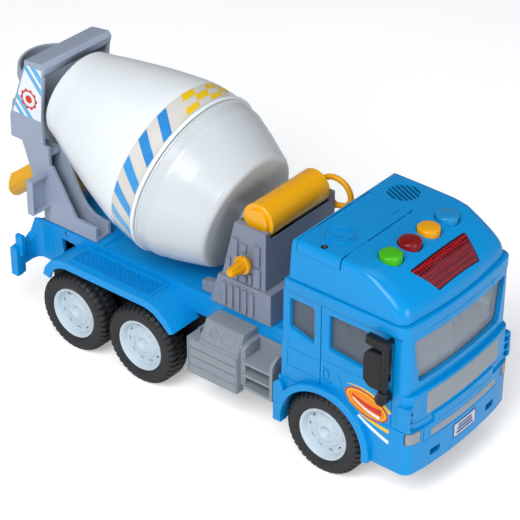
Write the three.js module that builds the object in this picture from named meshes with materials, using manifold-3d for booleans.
// Toy cement mixer: blue cab and chassis, white turning drum, grey frame, tower and lockers.
// Each mesh is one physical piece. X runs forward, Y to the left and Z up. The toy is drawn in
// pattern units with the rear axle at X = 0, then centred along X and scaled to millimetres.
import * as THREE from 'three';
import { mergeVertices } from 'three/addons/utils/BufferGeometryUtils.js';
import Module from 'manifold-3d';

const wasm = await Module();
wasm.setup();

// ---- driving dimensions, in pattern units ----
const PATTERN = 1.1;            // millimetres in one pattern unit
const X_ORIGIN = 68.3;          // middle of the toy's length
const GAP = 0.3;                // clearance between neighbouring pieces
const TYRE_R = 22;
const TYRE_IN = 29.4;           // Y of the tyre's inner side
const TYRE_WIDTH = 13.8;
const TYRE_OUT = TYRE_IN + TYRE_WIDTH;
const RIM_R = 14;
const AXLE_R = 1.5;
const AXLE_Z = 22;
const AXLES = { rear: 0, mid: 46.1, front: 162.8 };
const DECK_TOP = 57;
const DECK_HALF = 26;           // half width of the deck
const SEAT_Z = DECK_TOP + GAP;  // underside of what stands on the deck
const WING_HALF = 45;
const CAB_WALL = 2.4;
const LIP_Z = 101.4;            // top of the cab shell
const ROOF_Z = 122.4;
const CHUTE_X = -36;            // chute swivel pin

// ---- materials ----
const BLACK = 0x151617;
const BLUE_PLASTIC = { color: 0x1e96e6, roughness: 0.35 };
const GREY_PLASTIC = { color: 0x8a94a6, roughness: 0.5 };
const LOCKER_GREY = { color: 0x8b9094, roughness: 0.5 };
const HOPPER_GREY = { color: 0x6f7684, roughness: 0.5 };
const YELLOW_PLASTIC = { color: 0xf4b400, roughness: 0.35 };
const HOSE_ORANGE = { color: 0xf0a010, roughness: 0.4 };
const BLACK_PLASTIC = { color: BLACK, roughness: 0.6 };
const MIRROR_BLACK = { color: BLACK, roughness: 0.4 };
const RUBBER = { color: BLACK, roughness: 0.85 };
const RIM_PLASTIC = { color: 0xdfe8ee, roughness: 0.4 };
const DRUM_WHITE = { color: 0xe9edf0, roughness: 0.3 };
const GEAR_CREAM = { color: 0xe8e2d0, roughness: 0.5 };
const STEEL = { color: 0xb9bcc0, roughness: 0.3, metalness: 0.9 };
const FLYWHEEL_STEEL = { ...STEEL, roughness: 0.35 };
const GLAZING = { color: 0xcfd8dc, roughness: 0.1 };
const INTERIOR_PALE = { color: 0xb9bfc6, roughness: 0.55 };
const LENS_RED = { color: 0x9c1420, roughness: 0.2 };
const CELL_GREEN = { color: 0x2e7d4f, roughness: 0.35, metalness: 0.3 };
const BOARD_GREEN = { color: 0x2f6b3c, roughness: 0.5 };
const LAMP_WHITE = { color: 0xf2f2f2, roughness: 0.15 };
const DOME_RUBBER = { color: 0xd8d8d0, roughness: 0.6 };

// ---- solids ----
// Weld a closed geometry, drop its collapsed triangles and turn it outward.
function solid(geometry) {
  const bare = geometry.clone();
  bare.deleteAttribute('normal');
  bare.deleteAttribute('uv');
  const welded = mergeVertices(bare, 1e-4);
  const position = welded.attributes.position;
  const index = welded.index.array;
  const corner = (i) => new THREE.Vector3().fromBufferAttribute(position, i);
  const triangles = [];
  let volume = 0;
  for (let i = 0; i < index.length; i += 3) {
    const [a, b, c] = [index[i], index[i + 1], index[i + 2]];
    if (a === b || b === c || a === c) continue;
    triangles.push(a, b, c);
    volume += corner(a).dot(corner(b).cross(corner(c)));
  }
  if (volume < 0) triangles.reverse();
  return new wasm.Manifold(new wasm.Mesh({
    numProp: 3,
    vertProperties: new Float32Array(position.array),
    triVerts: new Uint32Array(triangles),
  }));
}
const join = (first, ...rest) => rest.reduce((sum, part) => sum.add(part), first);
const cut = (body, ...tools) => tools.reduce((left, tool) => left.subtract(tool), body);
const overlap = (first, ...rest) => rest.reduce((left, part) => left.intersect(part), first);
const mirrorY = (part) => part.mirror([0, 1, 0]);
const twin = (part) => [part, mirrorY(part)];

const box = (x0, x1, y0, y1, z0, z1) => solid(new THREE.BoxGeometry(x1 - x0, y1 - y0, z1 - z0)
  .translate((x0 + x1) / 2, (y0 + y1) / 2, (z0 + z1) / 2));

function extrude(outline, depth, holes = []) {
  const vectors = (points) => points.map(([a, b]) => new THREE.Vector2(a, b));
  const shape = new THREE.Shape(vectors(outline));
  shape.holes = holes.map((hole) => new THREE.Path(vectors(hole)));
  return new THREE.ExtrudeGeometry(shape, { depth, bevelEnabled: false });
}
// Y,Z section carried along X
const SECTION_TO_X = new THREE.Matrix4().makeBasis(
  new THREE.Vector3(0, 1, 0), new THREE.Vector3(0, 0, 1), new THREE.Vector3(1, 0, 0));
const prismX = (section, x0, x1) =>
  solid(extrude(section, x1 - x0).applyMatrix4(SECTION_TO_X).translate(x0, 0, 0));
// X,Z profile carried along Y
const prismY = (profile, y0, y1, holes) =>
  solid(extrude(profile, y1 - y0, holes).rotateX(Math.PI / 2).translate(0, y1, 0));
// X,Y plan carried along Z
const prismZ = (plan, z0, z1, holes) => solid(extrude(plan, z1 - z0, holes).translate(0, 0, z0));

const rodY = (x, z, y0, y1, radius, sides = 20) =>
  solid(new THREE.CylinderGeometry(radius, radius, y1 - y0, sides).translate(x, (y0 + y1) / 2, z));
const rodZ = (x, y, z0, z1, radius, sides = 20) =>
  solid(new THREE.CylinderGeometry(radius, radius, z1 - z0, sides)
    .rotateX(Math.PI / 2).translate(x, y, (z0 + z1) / 2));

// Turned profiles are lists of [radius, position along the axis].
const turned = (profile, sides) =>
  new THREE.LatheGeometry(profile.map(([r, s]) => new THREE.Vector2(r, s)), sides);
const turnY = (profile, x, z, sides) => solid(turned(profile, sides).translate(x, 0, z));
const turnZ = (profile, x, y, sides) =>
  solid(turned(profile, sides).rotateX(Math.PI / 2).translate(x, y, 0));

// angles in degrees
function arc(cx, cy, radius, start, end, steps) {
  const points = [];
  for (let i = 0; i <= steps; i++) {
    const angle = THREE.MathUtils.degToRad(start + (end - start) * i / steps);
    points.push([cx + radius * Math.cos(angle), cy + radius * Math.sin(angle)]);
  }
  return points;
}
const roundedRect = (x0, x1, y0, y1, r, steps) => [
  ...arc(x1 - r, y0 + r, r, -90, 0, steps), ...arc(x1 - r, y1 - r, r, 0, 90, steps),
  ...arc(x0 + r, y1 - r, r, 90, 180, steps), ...arc(x0 + r, y0 + r, r, 180, 270, steps)];

const group = new THREE.Group();
group.name = 'cement_mixer_toy';

function add(name, body, finish) {
  const { vertProperties, triVerts } = body.getMesh();
  const indexed = new THREE.BufferGeometry();
  indexed.setAttribute('position', new THREE.BufferAttribute(vertProperties, 3));
  indexed.setIndex(new THREE.BufferAttribute(triVerts, 1));
  const geometry = indexed.toNonIndexed();
  geometry.translate(-X_ORIGIN, 0, 0).scale(PATTERN, PATTERN, PATTERN);
  geometry.computeVertexNormals();
  const mesh = new THREE.Mesh(geometry, new THREE.MeshStandardMaterial(finish));
  mesh.name = name;
  group.add(mesh);
}
// a right-hand piece and its mirror image on the left
function addPair(name, right, finish) {
  add(`${name}_R`, right, finish);
  add(`${name}_L`, mirrorY(right), finish);
}

// ================= chassis moulding: deck, wings, rear bumper =================
const DECK_SCREW = { x: -18.5, z: 55 };
const DECK_SIDE_HOLE = [[-22.2, 51.3], [-12.4, 50.6], [-21.2, 43]];
// wing over the rear wheels, X,Z: its outside, the underside of its top, the underside of its lip
const WING_OUTER = [
  [-18.2, 40.4], [-16.6, 45.4], [-13, 50], [-8, 52.8], [-3, 53.6],
  [53.5, 53.6], [60, 51.6], [66.5, 46.8], [71.2, 41.4]];
const WING_INNER = [
  [69.2, 40.2], [64.4, 45.2], [58.8, 49.2], [53, 51], [-2.6, 51],
  [-6.8, 50.2], [-11, 47.8], [-14.2, 44], [-15.6, 39.8]];
const WING_LIP = [
  [68.2, 39.6], [63.2, 44.2], [57.8, 47.9], [52.4, 49.4], [-2.2, 49.4],
  [-5.6, 48.7], [-9.4, 46.5], [-12.2, 43.2], [-13.6, 39.4]];
// curved arm out to the bumper post: plan in X,Y and section in Y,Z
const ARM_PLAN = [
  [-34.6, -24], [-34.6, -26], [-36, -26.4], [-38.2, -28], [-39.7, -31], [-40.2, -35],
  [-40.2, -39], [-44.8, -39], [-44.6, -33], [-43.4, -29], [-41, -26.4], [-37, -24]];
const ARM_SECTION = [
  [-39.2, 33.4], [-39.2, 44.6], [-31.5, 45.6], [-28.4, 49], [-26.4, DECK_TOP],
  [-23, DECK_TOP], [-23, 34.5], [-28, 34.5], [-34, 33.4]];
// tab standing on the bumper post, Y,Z
const POST_TAB = [
  [-39.6, 44], [-39.6, 51.2], [-39.1, 51.9], [-37.3, 51.9], [-36.8, 51.2], [-36.8, 44]];

function rightWing() {
  const frame = roundedRect(-2.6, 53.2, -42.2, -27, 0.6, 1);
  const frameHole = roundedRect(-0.9, 51.5, -40.6, -28.6, 0.4, 1);
  return join(
    prismY([...WING_OUTER, ...WING_INNER], -WING_HALF, -DECK_HALF + 1),
    prismY([...WING_OUTER, ...WING_LIP], -WING_HALF, -WING_HALF + 1.6),
    prismZ(frame, 53, 54.4, [frameHole]));
}

function rightBumper() {
  const arm = overlap(prismZ(ARM_PLAN, 33, DECK_TOP), prismX(ARM_SECTION, -46, -33));
  const post = join(
    box(-44.8, -40, -42, -38, 28, 44.6),
    box(-44.8, -40.6, -38.2, -35.4, 28, 33.6),
    prismX(POST_TAB, -42.9, -38.4),
    box(-44.8, -38.4, -39.6, -36.8, 40, 45));
  return join(arm, post);
}

function chassisDeck() {
  const deck = cut(
    box(-37, 131, -DECK_HALF, DECK_HALF, 44, DECK_TOP),
    box(-34.6, 128.6, -DECK_HALF + 2.2, DECK_HALF - 2.2, 43, DECK_TOP - 2.6),
    box(6, 68, -DECK_HALF + 1.6, DECK_HALF - 1.6, DECK_TOP - 0.8, DECK_TOP + 1));
  const sideWall = box(-37, -8, -DECK_HALF, -DECK_HALF + 1.1, 34, 45);
  const rearWall = box(-37, -34.6, -DECK_HALF, DECK_HALF, 36, 45);
  const half = join(rightWing(), sideWall, rightBumper());
  return cut(
    join(deck, rearWall, ...twin(half)),
    ...twin(prismY(DECK_SIDE_HOLE, -DECK_HALF - 1, -DECK_HALF + 3)),
    ...twin(rodY(DECK_SCREW.x, DECK_SCREW.z, -DECK_HALF - 1, -DECK_HALF + 5, 1.5, 12)));
}

function deckScrew() {
  const { x, z } = DECK_SCREW;
  const face = -DECK_HALF + 0.9;
  return join(rodY(x, z, face, face + 3.4, 0.7, 8), rodY(x, z, face, face + 1, 1.15, 10));
}

// ================= underframe tray with the axle bearings =================
const FLY_X = 55.7;             // flywheel shaft
const FLY_Z = AXLE_Z + 3;

function underframe() {
  const tray = cut(box(-31, 198, -24.6, 24.6, 12, 43.7), box(-29, 196, -22.6, 22.6, 13.6, 44));
  const bearings = Object.values(AXLES).map((x) =>
    rodY(x, AXLE_Z, -26, 26, AXLE_R + GAP + 0.1, 12));
  // the front part stays below the cab floor
  const cabClearance = box(131.5, 200, -26, 26, 38, 45);
  return cut(tray, ...bearings, rodY(FLY_X, FLY_Z, -26, 26, 1.2, 10), cabClearance);
}

// ================= wheels =================
// [radius, distance outward from the tyre's inner side]
const TYRE_PROFILE = [
  [RIM_R + GAP, 0.6], [20, 0.2], [TYRE_R, 2.4], [TYRE_R, 11.4],
  [20.2, 13.6], [17, TYRE_WIDTH], [RIM_R + GAP, 13], [RIM_R + GAP, 0.6]];
const RIM_PROFILE = [
  [0, 9], [3, 9], [3, 11], [4.8, 11], [5.6, 10.1], [10.9, 9.4], [12.4, 13.2],
  [RIM_R, 13.2], [RIM_R, 0.8], [AXLE_R + GAP, 0.8], [AXLE_R + GAP, 8.4], [0, 8.4]];

function addWheels(name, x) {
  const rodEnd = TYRE_OUT - 5.6;
  add(`${name}_axle_rod`, rodY(x, AXLE_Z, -rodEnd, rodEnd, AXLE_R, 12), STEEL);
  const tyre = turnY(TYRE_PROFILE, x, AXLE_Z, 20).translate([0, TYRE_IN, 0]);
  const rim = turnY(RIM_PROFILE, x, AXLE_Z, 16).translate([0, TYRE_IN, 0]);
  add(`${name}_tyre_R`, mirrorY(tyre), RUBBER);
  add(`${name}_rim_R`, mirrorY(rim), RIM_PLASTIC);
  add(`${name}_tyre_L`, tyre, RUBBER);
  add(`${name}_rim_L`, rim, RIM_PLASTIC);
}

// ================= friction drive =================
// X,Z gear outline; tipHalf is half the tip width as a share of the tooth pitch
// and aim is the angle one tooth points at, plus an optional turn in tooth pitches
function gearOutline({ x, z, teeth, root, tip, tipHalf, aim, turn = 0 }) {
  const pitch = 2 * Math.PI / teeth;
  const points = [];
  for (let i = 0; i < teeth; i++) {
    const middle = aim + (i + turn) * pitch;
    for (const [share, r] of [[-0.26, root], [-tipHalf, tip], [tipHalf, tip], [0.26, root]]) {
      const angle = middle + share * pitch;
      points.push([x + r * Math.cos(angle), z + r * Math.sin(angle)]);
    }
  }
  return points;
}
const gearBore = (x, z, shaftRadius) => arc(x, z, shaftRadius + GAP, 0, 330, 11);

const AXLE_GEAR_TEETH = 18;
const FLY_GEAR_TEETH = 10;
const FLY_SHAFT_R = 0.85;
const driveDistance = Math.hypot(FLY_X - AXLES.mid, FLY_Z - AXLE_Z);
const driveModule = 2 * driveDistance / (AXLE_GEAR_TEETH + FLY_GEAR_TEETH);
const driveAngle = Math.atan2(FLY_Z - AXLE_Z, FLY_X - AXLES.mid);

function driveGear(x, z, teeth, aim, turn) {
  const pitchRadius = driveModule * teeth / 2;
  const [root, tip] = [pitchRadius - 0.95, pitchRadius + 0.55];
  return gearOutline({ x, z, teeth, root, tip, tipHalf: 0.12, aim, turn });
}

// one tooth points at the flywheel shaft
function midAxleGear() {
  const outline = driveGear(AXLES.mid, AXLE_Z, AXLE_GEAR_TEETH, driveAngle);
  return prismY(outline, 4, 8, [gearBore(AXLES.mid, AXLE_Z, AXLE_R)]);
}

// the half-pitch turn puts a gap toward the axle gear
function flywheel() {
  const pinion = driveGear(FLY_X, FLY_Z, FLY_GEAR_TEETH, driveAngle + Math.PI, 0.5);
  return join(
    prismY(pinion, 3.4, 8.6),
    rodY(FLY_X, FLY_Z, -14, 14, FLY_SHAFT_R, 10),
    rodY(FLY_X, FLY_Z, -9, -1, 7, 20));
}

// two bearing stands for the flywheel shaft on a common foot
function frictionDriveStand() {
  const footZ = 13.9;
  const [footHalf, topHalf] = [4, 2.6];
  const profile = [
    [FLY_X - footHalf, footZ], [FLY_X + footHalf, footZ],
    [FLY_X + topHalf, FLY_Z + 2.6], [FLY_X - topHalf, FLY_Z + 2.6]];
  const stand = (y0, y1) => cut(
    prismY(profile, y0, y1), rodY(FLY_X, FLY_Z, y0 - 1, y1 + 1, FLY_SHAFT_R + GAP, 12));
  const foot = box(FLY_X - footHalf, FLY_X + footHalf, -12.6, 12.2, footZ, 15.5);
  return join(stand(-12.6, -10.6), stand(10.2, 12.2), foot);
}

// ================= side lockers and steps =================
const LOCKER_PROFILE = [
  [77.8, 21], [109.8, 21], [109.8, 42], [109.8, 53], [85.6, 53], [85.6, 42], [77.8, 42]];
const LOCKER_SECTION = [[-42.6, 21], [-42.6, 42], [-36.6, 53], [-26.3, 53], [-26.3, 21]];
const STEP_TOP_TRIM = [[-42, 44], [-40.4, 46.6], [-37.4, 48.6], [-34, 49.4], [-42, 50]];

function rightSteps() {
  const openings = [[27.2, 33], [34.4, 40.2], [41.6, 50]];    // z0, z1
  return cut(
    box(109.4, 131, -41.4, -26.3, 25.6, 49),
    ...openings.map(([z0, z1]) => box(112.6, 129.2, -43, -27.8, z0, z1)),
    prismX(STEP_TOP_TRIM, 111, 132),
    box(109, 112.6, -42, -39.4, 24, 50));
}

function rightLocker() {
  const body = overlap(prismY(LOCKER_PROFILE, -43, -26.3), prismX(LOCKER_SECTION, 77, 111));
  const hollow = box(80.2, 107.4, -40.2, -28.6, 23.4, 39.6);
  const frameOpening = box(82, 106, -30, -25, 24.4, 38.6);
  // grooves in the outer face
  const plankLines = [26.2, 31.2, 36.4].map((z) => box(79.4, 108.4, -43, -42.3, z, z + 0.5));
  const borderLine = box(78.8, 79.4, -43, -42.3, 22.6, 40.6);
  return join(
    cut(body, hollow, frameOpening, ...plankLines, borderLine),
    box(79.4, 80.8, -36, -27.4, 42, 44.2),
    box(82.4, 83.8, -34, -27.4, 42, 44.8),
    rightSteps());
}

// ================= drum axis =================
const DRUM_X = 47.65;           // the drum's widest ring crosses its axis here
const DRUM_Z = 103.22;
const GEAR_X = 104;             // the knob shaft crosses the drum axis here
const tilt = THREE.MathUtils.degToRad(14.65);   // rise of the axis to the rear
const gearZ = DRUM_Z - (GEAR_X - DRUM_X) * Math.tan(tilt);
const gearReach = (GEAR_X - DRUM_X) / Math.cos(tilt);
const drumMatrix = new THREE.Matrix4().makeBasis(
  new THREE.Vector3(-Math.sin(tilt), 0, -Math.cos(tilt)),
  new THREE.Vector3(-Math.cos(tilt), 0, Math.sin(tilt)),
  new THREE.Vector3(0, 1, 0)).setPosition(DRUM_X, 0, DRUM_Z);
// [radius, distance to the rear of the widest ring along the axis]
const turnDrum = (profile, sides) => solid(turned(profile, sides).applyMatrix4(drumMatrix));

// ================= tower behind the cab =================
const TOWER_HALF = 27;
const TOWER_BASE_HALF = 28;
const TANK = { x: 106.3, z: 109.6 };
const TOWER_UPPER = [[95.7, 107.5], [114.9, 107.5], [114.9, 73], [87, 73], [87.9, 75.4]];
const TOWER_BASE = [[86.2, 75.2], [119, 75.2], [119, SEAT_Z], [81, SEAT_Z]];
const UPPER_HOLLOW = [[97.4, 105.5], [112.9, 105.5], [112.9, 70], [89, 70], [90.2, 76]];
const BASE_HOLLOW = [[88.3, 73.2], [117, 73.2], [117, 50], [83.5, 50]];
const TOWER_FOOT = [
  [72, SEAT_Z], [86, SEAT_Z], [86, 70], [83, 70], [81.2, 66.4],
  [78.4, 64.4], [75, 63.9], [72, 63.2]];
// raised ribs on the upper part: x0, x1, z0, z1
const UPPER_RIBS = [
  [91.6, 93.4, 76, 86], [95.2, 98, 76, 96], [100.2, 103.4, 76, 82], [100.2, 103.4, 95, 97.6],
  [105.2, 106.8, 76, 82], [108.8, 111.4, 88, 99.4], [108.4, 111.8, 76, 87]];

function towerDetails() {
  const rib = (half, x0, x1, z0, z1) => box(x0, x1, -half - 0.7, -half + 1, z0, z1);
  const details = [];
  for (let i = 0; i < 5; i++) {
    const x = 89.3 + i * 4.35;
    details.push(rib(TOWER_BASE_HALF, x, x + 2, 58.6, 72.2));
  }
  details.push(...UPPER_RIBS.map((range) => rib(TOWER_HALF, ...range)));
  details.push(prismY(TOWER_FOOT, -23.6, -19.6));
  return details;
}

function tower() {
  const walls = join(
    prismY(TOWER_UPPER, -TOWER_HALF, TOWER_HALF),
    prismY(TOWER_BASE, -TOWER_BASE_HALF, TOWER_BASE_HALF));
  const hollow = join(
    prismY(UPPER_HOLLOW, -TOWER_HALF + 2, TOWER_HALF - 2),
    prismY(BASE_HOLLOW, -TOWER_BASE_HALF + 2, TOWER_BASE_HALF - 2));
  const cradle = overlap(
    rodY(TANK.x, TANK.z, -24.6, 24.6, 12.2, 24), box(96.3, 114.6, -26, 26, 90, 107.5));
  const body = cut(
    join(cut(walls, hollow), cradle),
    rodY(TANK.x, TANK.z, -23.4, 23.4, 10.3, 24),
    rodY(TANK.x, TANK.z, -25, -23, 6.1, 20),
    turnDrum([[0, -50], [3, -50], [3, -40], [0, -40]], 16),   // drum shaft opening
    rodY(GEAR_X, gearZ, -30, -20, 1.9, 14));                  // knob shaft opening
  return join(body, ...towerDetails().flatMap(twin));
}

// ================= tank and its hose =================
const TANK_PROFILE = [
  [0, -24.7], [5.2, -24.7], [5.7, -24.2], [5.7, -22.3], [8.6, -22.3], [9.9, -21.4],
  [9.9, -16.8], [9.3, -16.5], [9.3, 16.5], [9.9, 16.8], [9.9, 21.4], [8.6, 22.3], [0, 22.3]];
// hose centre line, X,Y,Z
const HOSE_PATH = [
  [106.3, 23, 110.6], [106.8, 26.4, 111.4], [109.6, 28.8, 112.6], [113.8, 29.6, 112.8],
  [118.6, 29.8, 111], [121.8, 29.8, 107.2], [122.3, 29.8, 102.8], [120, 29.8, 99.6],
  [116.2, 29.7, 98.2], [112.4, 29.6, 97.6]];

function tankHose() {
  const extrudePath = new THREE.CatmullRomCurve3(HOSE_PATH.map((p) => new THREE.Vector3(...p)));
  const hexagon = arc(0, 0, 1.5, 0, 300, 5).map(([a, b]) => new THREE.Vector2(a, b));
  const options = { steps: 16, extrudePath, bevelEnabled: false };
  return join(
    solid(new THREE.ExtrudeGeometry(new THREE.Shape(hexagon), options)),
    rodY(106.3, 110.6, 22.6, 24.6, 2.3, 10),
    rodY(111.6, 97.6, 28.1, 30.6, 2.6, 10));
}

// ================= rear frame =================
const FRAME_OUT = -25;          // outer and inner Y of the frame's right side
const FRAME_IN = -13.4;
const FRAME_PROFILE = [
  [-35, SEAT_Z], [1.6, SEAT_Z], [1.6, 65.7], [-12.6, 66], [-27.8, 90.7], [-29.5, 91],
  [-29.7, 101.8], [-33.2, 101.6], [-33.6, 114.8], [-30.2, 146], [-43, 146], [-56, 112.8],
  [-56.2, 100], [-48.4, 99.9], [-41.6, 79.7], [-35.2, 63]];
const FRAME_INNER_PLATE = [
  [-35, SEAT_Z], [1.6, SEAT_Z], [1.6, 64.6], [-8, 65.6], [-14, 69.5], [-18.5, 76],
  [-22.5, 84.5], [-24, 91], [-30, 97.8], [-47.6, 97.8], [-41.6, 79.7], [-35.2, 63]];
const FRAME_REAR_WEB = [
  [-35, SEAT_Z], [-35.2, 63], [-41.6, 79.7], [-47.7, 97.8],
  [-45.4, 97.8], [-39.4, 79.7], [-33, 63], [-33, SEAT_Z]];
const FRAME_EAR = [
  [-56.2, 100], [-48.4, 99.9], [-44, 113], [-49.6, 124.6], [-54.6, 121.4], [-56, 112.8]];
const FRAME_TOP_BAR = [
  [-44, 140.6], [-33.4, 140.6], [-30.6, 142.2], [-29.2, 146.6], [-31.2, 149.2], [-43.2, 147.6]];

function rearFrame() {
  const outboardTray = cut(
    box(-34, -29.8, -38, -24.4, 67, 87), box(-32.8, -29, -36.6, -26.2, 68.4, 85.6));
  const side = join(
    prismY(FRAME_PROFILE, FRAME_OUT, FRAME_OUT + 2.3),
    prismY(FRAME_INNER_PLATE, FRAME_IN - 2.2, FRAME_IN),
    prismY(FRAME_REAR_WEB, FRAME_OUT, FRAME_IN),
    box(-35, 1.6, FRAME_OUT, FRAME_IN, SEAT_Z, DECK_TOP + 2.3),
    box(-46.6, -30, FRAME_OUT + 1, FRAME_IN, 95.8, 97.8),
    prismY(FRAME_EAR, FRAME_OUT + 1, -19.6),
    outboardTray);
  const chuteBeam = cut(
    box(-40, -32.6, -14, 14, SEAT_Z, 62.2), rodZ(CHUTE_X, 0, 50, 70, 2.55, 16));
  return join(...twin(side), prismY(FRAME_TOP_BAR, FRAME_OUT, -FRAME_OUT), chuteBeam);
}

// ================= receiving hopper behind the drum mouth =================
const HOPPER_PROFILE = [
  [22.2, 134.6], [20.6, 134.6], [19.9, 129], [7, 97], [6.4, 91.2],
  [8, 91.2], [8.6, 96.4], [21, 127.4], [22.2, 129], [22.2, 134.6]];

function hopper() {
  const pivotZ = 132.7;
  const funnel = turnZ(HOPPER_PROFILE, 0, 0, 24)
    .translate([0, 0, -pivotZ]).rotate([0, 8.6, 0]).translate([-42.4, 0, pivotZ]);
  const trimmed = cut(
    funnel,
    turnDrum([[0, 0], [26, 0], [26, 81.6], [0, 81.6]], 24),
    box(-36.6, 0, -30, 30, 90, 150),
    ...twin(box(-70, 0, -30, -22.3, 90, 150)),
    ...twin(box(-60, -43.2, FRAME_OUT, -19.2, 99, 125.6)));
  // the cuts leave loose scraps, so only the largest part is kept
  return trimmed.decompose().sort((a, b) => b.volume() - a.volume())[0];
}

// ================= drum and its winding gear =================
const CROWN_TEETH = 14;
const PINION_TEETH = 8;
const WINDING_MODULE = 0.915;
const crownRadius = CROWN_TEETH / 2 * WINDING_MODULE;
const pinionRadius = PINION_TEETH / 2 * WINDING_MODULE;
const pinionY = -crownRadius;
const DRUM_SHAFT_R = 1.9;
const KNOB_SHAFT_R = 1.1;
const DRUM_REAR_PROFILE = [
  [42.6, 0.2], [45, 0.2], [45, 1.8], [44.3, 2.6], [44.3, 15], [42.5, 24], [36.9, 44], [30, 64],
  [27, 72], [24.3, 80], [22.9, 80], [25.4, 72], [35.2, 44], [42.6, 15], [42.6, 0.2]];
// closed on the axis: inner face first, then the outside back to the shaft end
const DRUM_FRONT_PROFILE = [
  [0, -33.4], [29.8, -33.4], [31.8, -31.6], [41.4, -7.4], [41.7, -0.2], [43.3, -0.2], [43, -8],
  [39, -19], [33.6, -31.6], [32.2, -34], [30.2, -35], [5.2, -35], [4.6, -38.4],
  [DRUM_SHAFT_R, -38.4], [DRUM_SHAFT_R, 1.2 - gearReach], [0, 1.2 - gearReach]];
const KNOB_PROFILE = [
  [0, -41.2], [1.7, -41.2], [2.2, -40.6], [3, -32.4], [4.8, -31.9], [4.8, -30.2], [4.3, -29.4],
  [1.5, -29.4], [1.5, pinionY - 1.6], [KNOB_SHAFT_R, pinionY - 1.6],
  [KNOB_SHAFT_R, pinionY + 1.6], [0, pinionY + 1.6]];

// face teeth point forward to the knob shaft
function drumCrownGear() {
  const tooth = { width: 0.78, height: 1.7, sink: 0.2, length: 2 };
  const back = pinionRadius + 2.6 - gearReach;
  const face = pinionRadius + 0.95 - gearReach;
  const [bore, rim] = [DRUM_SHAFT_R + GAP, crownRadius + 1.2];
  let crown = turnDrum([[bore, back], [bore, face], [rim, face], [rim, back], [bore, back]], 24);
  for (let i = 0; i < CROWN_TEETH; i++) {
    // the half step puts a gap at the pinion
    const angle = 2 * Math.PI * (i + 0.5) / CROWN_TEETH;
    const block = new THREE.BoxGeometry(tooth.width, tooth.height + tooth.sink, tooth.length)
      .translate(0, face - (tooth.height - tooth.sink) / 2, crownRadius).rotateY(angle);
    crown = crown.add(solid(block.applyMatrix4(drumMatrix)));
  }
  return crown;
}

// one tooth points along the drum axis at the crown gear
function knobPinion() {
  const outline = gearOutline({
    x: GEAR_X, z: gearZ, teeth: PINION_TEETH, root: pinionRadius - 1.1, tip: pinionRadius + 0.7,
    tipHalf: 0.1, aim: Math.PI - tilt,
  });
  return prismY(outline, pinionY - 1.1, pinionY + 1.1, [gearBore(GEAR_X, gearZ, KNOB_SHAFT_R)]);
}

// ================= chute =================
const CHUTE_TOP = new THREE.Vector3(-33.5, 0, 79.4);
const CHUTE_LOW = new THREE.Vector3(-79, 0, 44);
const CHUTE_R = 9;
const CHUTE_BORE = CHUTE_R - 1.3;
const CHUTE_DEPTH = 12.6;
// cuts the low end to a rounded side view, X,Z
const CHUTE_END_TRIM = [
  [-90, 38], [-76.2, 38], [-78.4, 47.5], [-78.2, 54], [-75.6, 62], [-90, 66]];

function chute() {
  const run = CHUTE_LOW.clone().sub(CHUTE_TOP);
  const length = run.length();
  run.normalize();
  const up = new THREE.Vector3(run.z, 0, -run.x);
  const matrix = new THREE.Matrix4().makeBasis(new THREE.Vector3(0, -1, 0), up, run)
    .setPosition(CHUTE_TOP);
  const bore = arc(0, CHUTE_R, CHUTE_BORE, 180, 360, 14);
  const section = [
    [-CHUTE_R, CHUTE_DEPTH], ...arc(0, CHUTE_R, CHUTE_R, 180, 360, 14), [CHUTE_R, CHUTE_DEPTH],
    [CHUTE_BORE, CHUTE_DEPTH], ...[...bore].reverse(), [-CHUTE_BORE, CHUTE_DEPTH]];
  const trough = cut(
    solid(extrude(section, length).applyMatrix4(matrix)),
    box(-34.2, 0, -20, 20, 60, 110),
    prismY(CHUTE_END_TRIM, -20, 20));
  const pin = join(
    rodZ(CHUTE_X - 0.4, 0, 62.5, 78.2, 3.9, 16), rodZ(CHUTE_X, 0, 57.7, 64, 2.2, 16));
  // the pin is kept out of the channel
  const channelSection = [[-CHUTE_BORE, 30], ...bore, [CHUTE_BORE, 30]];
  const channel = extrude(channelSection, length + 20).translate(0, 0, -10);
  return join(trough, cut(pin, solid(channel.applyMatrix4(matrix))));
}

// ================= cab =================
// plan of each level: rear and front X, half width, corner radius, bow of the front;
// z0 and z1 are its height range and frontExtra is added to the front wall
const CAB_UPPER = {
  z0: 63.6, z1: 95.6, rear: 136.6, front: 211.5, side: 41, corner: 4.5, bow: 2.6, frontExtra: 0,
};
const CAB_MIDDLE = {
  z0: 44.2, z1: 63.6, rear: 135.8, front: 213.9, side: 41, corner: 5, bow: 2.8, frontExtra: 0.9,
};
const CAB_LOWER = {
  z0: 19.5, z1: 44.2, rear: 134.6, front: 215, side: 41.6, corner: 5.5, bow: 3, frontExtra: 2.6,
};
const CAB_LEVELS = [CAB_UPPER, CAB_MIDDLE, CAB_LOWER];
const CAB_LIP = { rear: 138.6, front: 211.3, side: 42.7, corner: 5.5, bow: 2.6 };
const LIP_HOLLOW = { ...CAB_LIP, front: 210.9, side: 42 };
const CAB_FRONT = { ...CAB_MIDDLE, rear: 135 };   // what the front guards and bar follow

function cabPlan(inset, { rear, front, side, corner, bow }) {
  const r = Math.max(corner - inset, 0.8);
  const y = side - inset;
  const x = front - inset;
  return [
    [rear + inset, y], [rear + inset, -y],
    ...arc(x - bow - r, -y + r, r, -90, -14, 4),
    ...[-0.72, -0.42, 0, 0.42, 0.72].map((t) => [x - bow * t * t * 1.12, t * y]),
    ...arc(x - bow - r, y - r, r, 14, 90, 4)];
}

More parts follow.
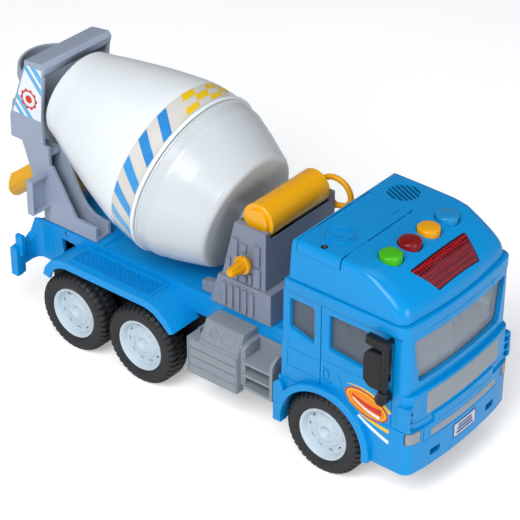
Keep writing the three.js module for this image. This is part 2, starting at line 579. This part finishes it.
const FRONT_SIDE_WINDOW = [
  [164.2, 72.4], [165.6, 71], [182, 69.4], [198.2, 68.7], [199.6, 70.1],
  [199.6, 88.8], [198.2, 90.2], [165.6, 90.4], [164.2, 89]];
const WINDSCREEN_OPENING = [      // Y,Z
  [-32.4, 68.2], [32.4, 68.2], [33.6, 69], [36.9, 91.2],
  [36, 92.6], [-36, 92.6], [-36.9, 91.2], [-33.6, 69]];
const ARCH_REAR_GUARD = [
  [133.4, 18.6], [138.4, 18.6], [138.4, 26], [141, 36], [137, 43.8], [133.4, 40.4]];
const AIR_GUARD_PLATE = [
  [204.6, 45.6], [205.6, 44.6], [211.2, 44.6], [212.2, 45.6],
  [212.2, 57.6], [211.2, 58.6], [205.6, 58.6], [204.6, 57.6]];
const AIR_GUARD_WEB = [[205.5, 35.5], [210.4, 35.5], [211.9, 38.5], [212.2, 42], [205.5, 42]];

function rearSideWindow() {
  const [x0, x1, z0, z1] = [140.9, 155.4, 70.6, 90.4];
  const drop = 3.4;
  const r = 1.4;
  return [
    [x0, z0 + drop], [x0 + 2.2, z0 + drop * 0.5], [x1 - r, z0], [x1, z0 + r],
    [x1, z1 - r], [x1 - r, z1], [x0 + r, z1], [x0, z1 - r]];
}

function cabWalls() {
  const outer = CAB_LEVELS.map((level) => prismZ(cabPlan(0, level), level.z0, level.z1 + 0.01));
  const inner = CAB_LEVELS.map((level) => {
    const plan = cabPlan(CAB_WALL, { ...level, front: level.front - level.frontExtra });
    return prismZ(plan, level.z0 - 0.5, level.z1 + 0.01);
  });
  return cut(
    join(...outer, prismZ(cabPlan(0, CAB_LIP), 95.4, LIP_Z)),
    join(...inner),
    prismZ(cabPlan(CAB_WALL, LIP_HOLLOW), 95, LIP_Z + 1));
}

function rightArchFlare() {
  const band = [
    ...arc(AXLES.front, AXLE_Z, 28, -8, 188, 12), ...arc(AXLES.front, AXLE_Z, 24.2, 188, -8, 12)];
  const flare = overlap(prismY(band, -44.6, -38), box(130, 196, -50, 50, CAB_LOWER.z0, 60));
  return join(flare, prismY(ARCH_REAR_GUARD, -44, -39));
}

// upright plate on the front corner, carried on four webs
function rightAirGuard() {
  const webs = [[44.8, 45.9], [48.9, 50], [53.2, 54.3], [57.3, 58.4]];   // z0, z1
  return cut(
    join(
      prismY(AIR_GUARD_PLATE, 40.4, 42.7),
      ...webs.map(([z0, z1]) => prismZ(AIR_GUARD_WEB, z0, z1))),
    prismZ(cabPlan(CAB_WALL, CAB_FRONT), 40, 60)).mirror([0, 1, 0]);
}

function frontBar() {
  const band = cut(
    prismZ(cabPlan(-0.9, CAB_FRONT), 43.6, 48.2), prismZ(cabPlan(1, CAB_FRONT), 43, 49));
  return overlap(band, box(200, 218, -24, 24, 43, 49));
}

function cabShell() {
  const pierced = cut(
    join(cabWalls(), ...twin(rightArchFlare())),
    ...twin(rodY(AXLES.front, AXLE_Z, -46, -27, 24.4, 24)),              // wheel arches
    prismY([[140, 10], [186, 10], [186, 21], [140, 21]], -60, 60),
    box(130, 140, -25, 25, 10, 44.2),
    ...twin(prismY(rearSideWindow(), -46, -36)),
    ...twin(prismY(FRONT_SIDE_WINDOW, -46, -36)),
    prismX(WINDSCREEN_OPENING, 196, 220),
    ...twin(box(206, 217, -26.2, -19, 24.8, 28.4)));                     // bumper slots
  return cut(
    join(pierced, ...twin(rightAirGuard()), frontBar()),
    ...twin(box(159.2, 159.8, -42, -40.5, 49, 93.5)));                   // door seams
}

function windscreen() {
  const ring = cut(
    prismZ(cabPlan(2.75, CAB_UPPER), 66.6, 94.4), prismZ(cabPlan(3.6, CAB_UPPER), 66, 95));
  return overlap(ring, box(200, 215, -37.2, 37.2, 66, 95));
}

// floor, dashboard, seats and steering wheel in one moulding
function cabInterior() {
  const seatY = 18;
  const floor = cut(
    box(139.6, 205.4, -36.8, 36.8, 46.6, 48.6), ...twin(box(200, 207, -40, -30, 40, 50)));
  const dashboard = prismY([[187, 48], [204.4, 48], [204.4, 66], [199, 67.4], [191, 62]], -30, 30);
  const cushion = box(148, 168, -seatY - 11, -seatY + 11, 48, 57);
  const backrest = prismY(
    [[146, 48], [151, 48], [148.6, 88], [144.4, 88]], -seatY - 10, -seatY + 10);
  const column = prismY(
    [[181, 66.4], [182.4, 67.4], [192.2, 61.2], [191.4, 60]], seatY - 1.2, seatY + 1.2);
  const steeringWheel = rodY(0, 0, -0.9, 0.9, 7.4, 16)
    .rotate([60, 0, 90]).translate([182.4, seatY, 67.6]);
  return join(floor, dashboard, ...twin(cushion), ...twin(backrest), column, steeringWheel);
}

function rightMirror() {
  const body = join(
    prismY(roundedRect(187.6, 200.2, 69.8, 88.2, 2, 2), -48.4, -44.6),
    prismY(roundedRect(189.4, 202.2, 91.6, 95.2, 1, 2), -48, -44.8),
    box(198.2, 201.8, -47.6, -45.4, 62, 94),
    box(196, 201, -47.4, -41.35, 58.6, 64.6),
    box(198.4, 201.6, -47.4, -41.35, 90.8, 94.4));
  return cut(body, box(189, 198.8, -49, -47.8, 71.2, 86.8));
}

// ================= roof =================
const ROOF_REAR = 140.8;
// from the lip up: z, front, half width, corner radius, bow,
// then how far the front, side and height move in for each unit of inset
const ROOF_LEVELS = [
  [LIP_Z + GAP, 209.6, 41.3, 6, 2.9, 1, 1, 0],
  [106.6, 209, 41, 7, 3.1, 1, 1, 0.2],
  [110.4, 206.9, 40.6, 8.5, 3.4, 0.85, 1, 0.5],
  [114.2, 201.6, 40.2, 9, 3.6, 0.6, 1, 0.75],
  [118.1, 194.4, 39.7, 9.5, 3.8, 0.45, 0.9, 0.85],
  [120.4, 187.4, 39.3, 10, 4, 0.35, 0.75, 0.95],
  [121.6, 181, 38.9, 10, 4, 0.25, 0.6, 1],
  [122.6, 174, 38.4, 10, 4, 0.2, 0.5, 1]];
const BUTTON_X = 183.8;
const BUTTON_PITCH = 14.78;
const BUTTONS = [['green', 0x5cc628], ['red', 0xb5121b], ['amber', 0xf2a51d], ['blue', 0x2f9fd8]]
  .map(([name, color], i) => ({ name, color, y: (i - 1.5) * BUTTON_PITCH }));
const SPEAKER = { x: 155, y: 26.4 };
const COVER = { x0: 143.4, x1: 168.4, y: 15.8 };
const COVER_SCREW = { x: 156.6, y: -36.2 };

function roofOutline(rear, front, side, r, bow) {
  const rightCorner = arc(front - bow - r, -side + r, r, -90, -12, 4);
  const [endX, endY] = rightCorner.at(-1);
  return [
    [rear, side], [rear, -side], ...rightCorner,
    ...[0.6, 0, -0.6].map((k) => [front - (front - endX) * k * k, endY * k]),
    ...arc(front - bow - r, side - r, r, 12, 90, 4)];
}

// closed skin through outlines of equal point count
function loft(levels) {
  const count = levels[0].outline.length;
  const top = (levels.length - 1) * count;
  const positions = levels.flatMap(({ outline, z }) => outline.flatMap(([x, y]) => [x, y, z]));
  const index = [];
  for (let start = 0; start < top; start += count) {
    for (let i = 0; i < count; i++) {
      const a = start + i;
      const b = start + (i + 1) % count;
      index.push(a, b, b + count, a, b + count, a + count);
    }
  }
  for (let i = 1; i < count - 1; i++) index.push(0, i + 1, i, top, top + i, top + i + 1);
  const geometry = new THREE.BufferGeometry();
  geometry.setAttribute('position', new THREE.Float32BufferAttribute(positions, 3));
  geometry.setIndex(index);
  return solid(geometry);
}

function roofSolid(inset) {
  const rear = ROOF_REAR + inset;
  const levels = ROOF_LEVELS.map(([z, front, side, r, bow, frontIn, sideIn, down]) => ({
    outline: roofOutline(
      rear, front - inset * frontIn, side - inset * sideIn, r - inset * 0.6, bow),
    z: z - inset * down,
  }));
  const topProfile = [
    [rear, 95], [rear, 120.6 - inset], [142.4 + inset, ROOF_Z - inset], [168, 122.1 - inset],
    [180, 121.5 - inset], [187.4, 120.4 - inset], [188, 120.2], [230, 120.2], [230, 95]];
  return overlap(loft(levels), prismY(topProfile, -60, 60));
}

const roofShell = cut(
  roofSolid(0),
  roofSolid(1.9).translate([0, 0, -0.02]),
  box(142.7, 200, -39, 39, LIP_Z, LIP_Z + 0.5));

const lensPlan = (grow) => [
  [194.1 - grow, -22.1 - grow], [207 + grow, -16.2 - grow * 0.6],
  [207 + grow, 16.2 + grow * 0.6], [194.1 - grow, 22.1 + grow]];

function speakerSlots() {
  const { x, y } = SPEAKER;
  const disc = rodZ(x, y, 110, 130, 7.8, 24);
  return [-2, -1, 0, 1, 2].map((i) => {
    const slot = new THREE.BoxGeometry(18, 1.5, 20).translate(0, i * 2.9, 0);
    return overlap(disc, solid(slot.rotateZ(0.55).translate(x, y, 120)));
  });
}

function cabRoof() {
  const coverOpening = box(COVER.x0 - GAP, COVER.x1 + GAP, -50, COVER.y + GAP, 116.2, 130);
  const buttonHoles = BUTTONS.flatMap(({ y }) => [
    rodZ(BUTTON_X, y, 112, 130, 5.95, 16), rodZ(BUTTON_X, y, 108, 116.4, 6.9, 16)]);
  const lensOpening = prismZ(lensPlan(0), 106, 130);
  return cut(roofShell, coverOpening, ...buttonHoles, lensOpening, ...speakerSlots());
}

// wraps down over the right side of the roof
function cellCover() {
  const cover = overlap(roofShell, box(COVER.x0, COVER.x1, -50, COVER.y, 116.5, 130));
  return cut(cover, rodZ(COVER_SCREW.x, COVER_SCREW.y, 112, 130, 1.7, 12));
}

function cellCoverScrew() {
  const { x, y } = COVER_SCREW;
  return join(rodZ(x, y, 119.6, 120.6, 1.35, 12), rodZ(x, y, 112, 119.8, 0.7, 8));
}

function roofLens() {
  return overlap(cut(roofSolid(-0.25), roofSolid(1.3)), prismZ(lensPlan(-0.35), 106, 130));
}

// ================= sound and light unit under the roof =================
const TRAY = { x0: 144.4, x1: 167.4, wall: 1.2 };
const CELL_INSET = TRAY.wall + 5.15;    // tray side to cell axis
const CELL_PROFILE = [
  [0, -28.6], [4.6, -28.6], [4.75, -28.2], [4.75, 10.6],
  [4.5, 11.2], [1.7, 11.2], [1.7, 12.2], [0, 12.2]];
const SPEAKER_PROFILE = [
  [0, 110.4], [4.2, 110.4], [4.2, 113], [7.9, 116.4], [8.4, 116.4],
  [8.4, 118.2], [7.2, 118.2], [6.8, 117.2], [0, 115.6]];
const LAMP_PROFILE = [[0, 108.2], [1.9, 108.2], [1.9, 110.4], [1.4, 111.9], [0, 112.4]];
// stem, retaining flange below the roof, then the cap
const BUTTON_PROFILE = [
  [0, 111.1], [1.9, 111.1], [1.9, 115], [6.5, 115], [6.5, 116.1],
  [5.55, 116.1], [5.55, 122.8], [4.6, 123.8], [0, 124.3]];
const DOME_PROFILE = [[0, 108.2], [3.4, 108.2], [2, 110.8], [0, 110.8]];

function cellTray() {
  const { x0, x1, wall } = TRAY;
  return cut(
    box(x0, x1, -31, 14.6, 104.6, 116),
    box(x0 + wall, x1 - wall, -31 + wall, 14.6 - wall, 106, 117));
}
const dryCell = (x) => turnY(CELL_PROFILE, x, 111.2, 12);

// ================= assembly =================
add('chassis_deck', chassisDeck(), BLUE_PLASTIC);
addPair('deck_screw', deckScrew(), STEEL);
add('underframe', underframe(), BLACK_PLASTIC);
for (const [name, x] of Object.entries(AXLES)) addWheels(name, x);
add('mid_axle_gear', midAxleGear(), GEAR_CREAM);
add('flywheel', flywheel(), FLYWHEEL_STEEL);
add('friction_drive_stand', frictionDriveStand(), BLACK_PLASTIC);
addPair('side_locker', rightLocker(), LOCKER_GREY);
add('tower', tower(), GREY_PLASTIC);
add('tank', turnY(TANK_PROFILE, TANK.x, TANK.z, 22), YELLOW_PLASTIC);
add('tank_hose', tankHose(), HOSE_ORANGE);
add('rear_frame', rearFrame(), GREY_PLASTIC);
add('hopper', hopper(), HOPPER_GREY);
add('drum_rear_shell', turnDrum(DRUM_REAR_PROFILE, 28), DRUM_WHITE);
add('drum_front_shell', turnDrum(DRUM_FRONT_PROFILE, 28), DRUM_WHITE);
add('drum_crown_gear', drumCrownGear(), GEAR_CREAM);
add('winding_knob', turnY(KNOB_PROFILE, GEAR_X, gearZ, 16), YELLOW_PLASTIC);
add('knob_pinion', knobPinion(), GEAR_CREAM);
add('chute', chute(), YELLOW_PLASTIC);
add('cab_shell', cabShell(), BLUE_PLASTIC);
add('windscreen', windscreen(), GLAZING);
addPair('side_glazing', box(139.6, 201.2, -38.3, -37.5, 67.2, 92.2), GLAZING);
add('cab_interior', cabInterior(), INTERIOR_PALE);
addPair('mirror', rightMirror(), MIRROR_BLACK);
add('cab_roof', cabRoof(), BLUE_PLASTIC);
add('cell_cover', cellCover(), BLUE_PLASTIC);
add('cell_cover_screw', cellCoverScrew(), STEEL);
add('roof_lens', roofLens(), LENS_RED);
add('cell_tray', cellTray(), BLACK_PLASTIC);
add('dry_cell_1', dryCell(TRAY.x0 + CELL_INSET), CELL_GREEN);
add('dry_cell_2', dryCell(TRAY.x1 - CELL_INSET), CELL_GREEN);
add('circuit_board', box(171.5, 196.5, -31, 31, 106.6, 107.9), BOARD_GREEN);
add('speaker', turnZ(SPEAKER_PROFILE, SPEAKER.x, SPEAKER.y, 14), BLACK_PLASTIC);
add('lens_lamp', turnZ(LAMP_PROFILE, 192.6, 0, 10), LAMP_WHITE);
for (const { name, color, y } of BUTTONS) {
  add(`button_${name}`, turnZ(BUTTON_PROFILE, BUTTON_X, y, 16), { color, roughness: 0.3 });
  add(`key_dome_${name}`, turnZ(DOME_PROFILE, BUTTON_X, y, 10), DOME_RUBBER);
}

export default group;
